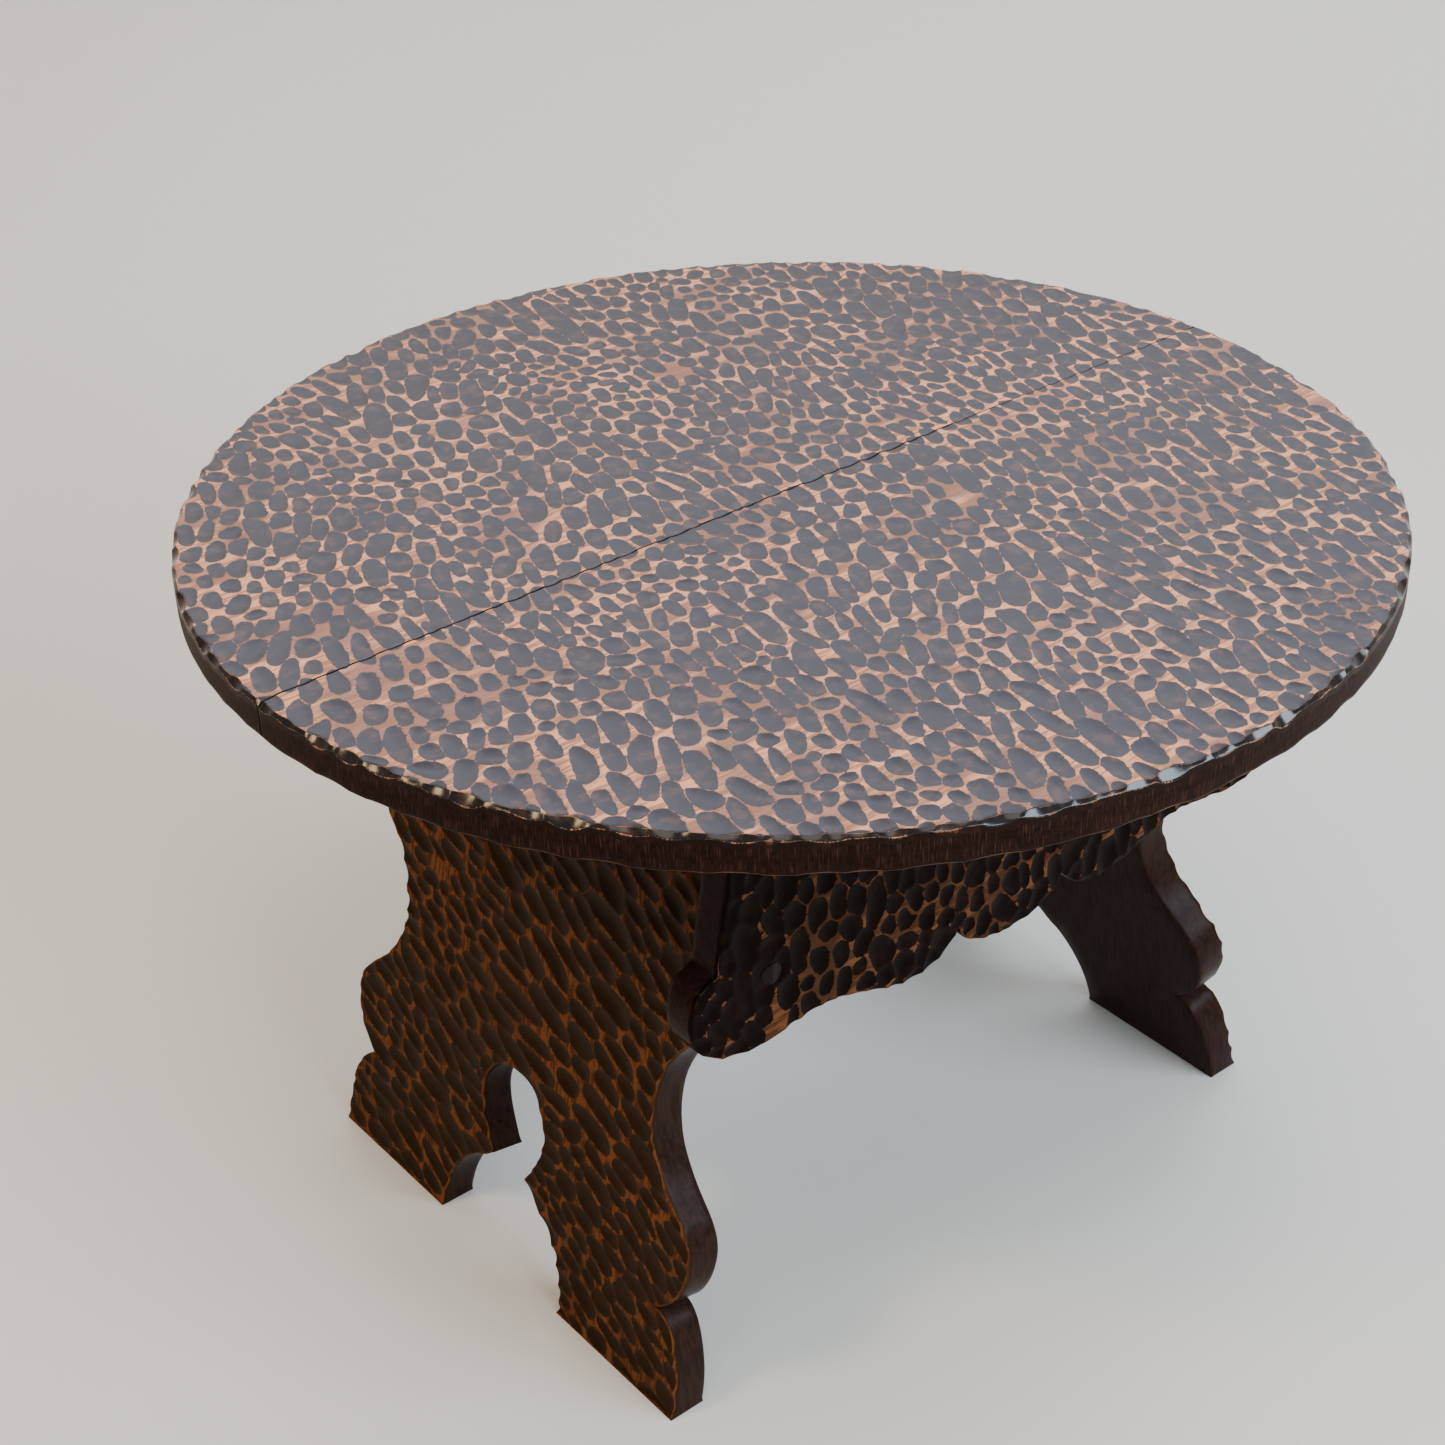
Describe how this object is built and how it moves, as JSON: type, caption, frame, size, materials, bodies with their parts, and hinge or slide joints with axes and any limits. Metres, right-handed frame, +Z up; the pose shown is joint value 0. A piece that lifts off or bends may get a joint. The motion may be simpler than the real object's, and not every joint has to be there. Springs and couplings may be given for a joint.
{
  "type": "low table",
  "caption": "Low round gouge-carved wooden table: boarded top with a nicked rim on outward-splayed scalloped slab legs, joined by scalloped aprons.",
  "frame": {"origin": "centre of the table's footprint, on the floor that its feet stand on", "axes": "+Z up; +X along the seam of the top, from the left leg to the right leg; -Y towards the front apron"},
  "size_m": [0.57, 0.5698, 0.366],
  "materials": {
    "top_wood": "gouge-carved, dark stain in the hollows, rubbed back on the ridges, satin varnish",
    "leg_wood": "gouge-carved outer face, dark stain, satin varnish",
    "apron_wood": "gouge-carved outer face, dark stain, satin varnish",
    "plug_wood": "dark stain, satin varnish",
    "block_wood": "sawn, thin dark stain",
    "dowel_wood": "bare",
    "screw_steel": "dull, aged"
  },
  "bodies": {
    "root": {"top_board_front": "top_wood", "top_board_back": "top_wood", "seam_dowels": "dowel_wood", "leg_left": "leg_wood", "leg_right": "leg_wood", "apron_front": "apron_wood", "apron_back": "apron_wood", "apron_screws": "screw_steel", "apron_screw_plugs": "plug_wood", "leg_block_1": "block_wood", "leg_block_2": "block_wood", "leg_block_3": "block_wood", "leg_block_4": "block_wood", "apron_block_1": "block_wood", "apron_block_2": "block_wood", "apron_block_3": "block_wood", "apron_block_4": "block_wood", "block_screws": "screw_steel"}
  },
  "joints": []
}
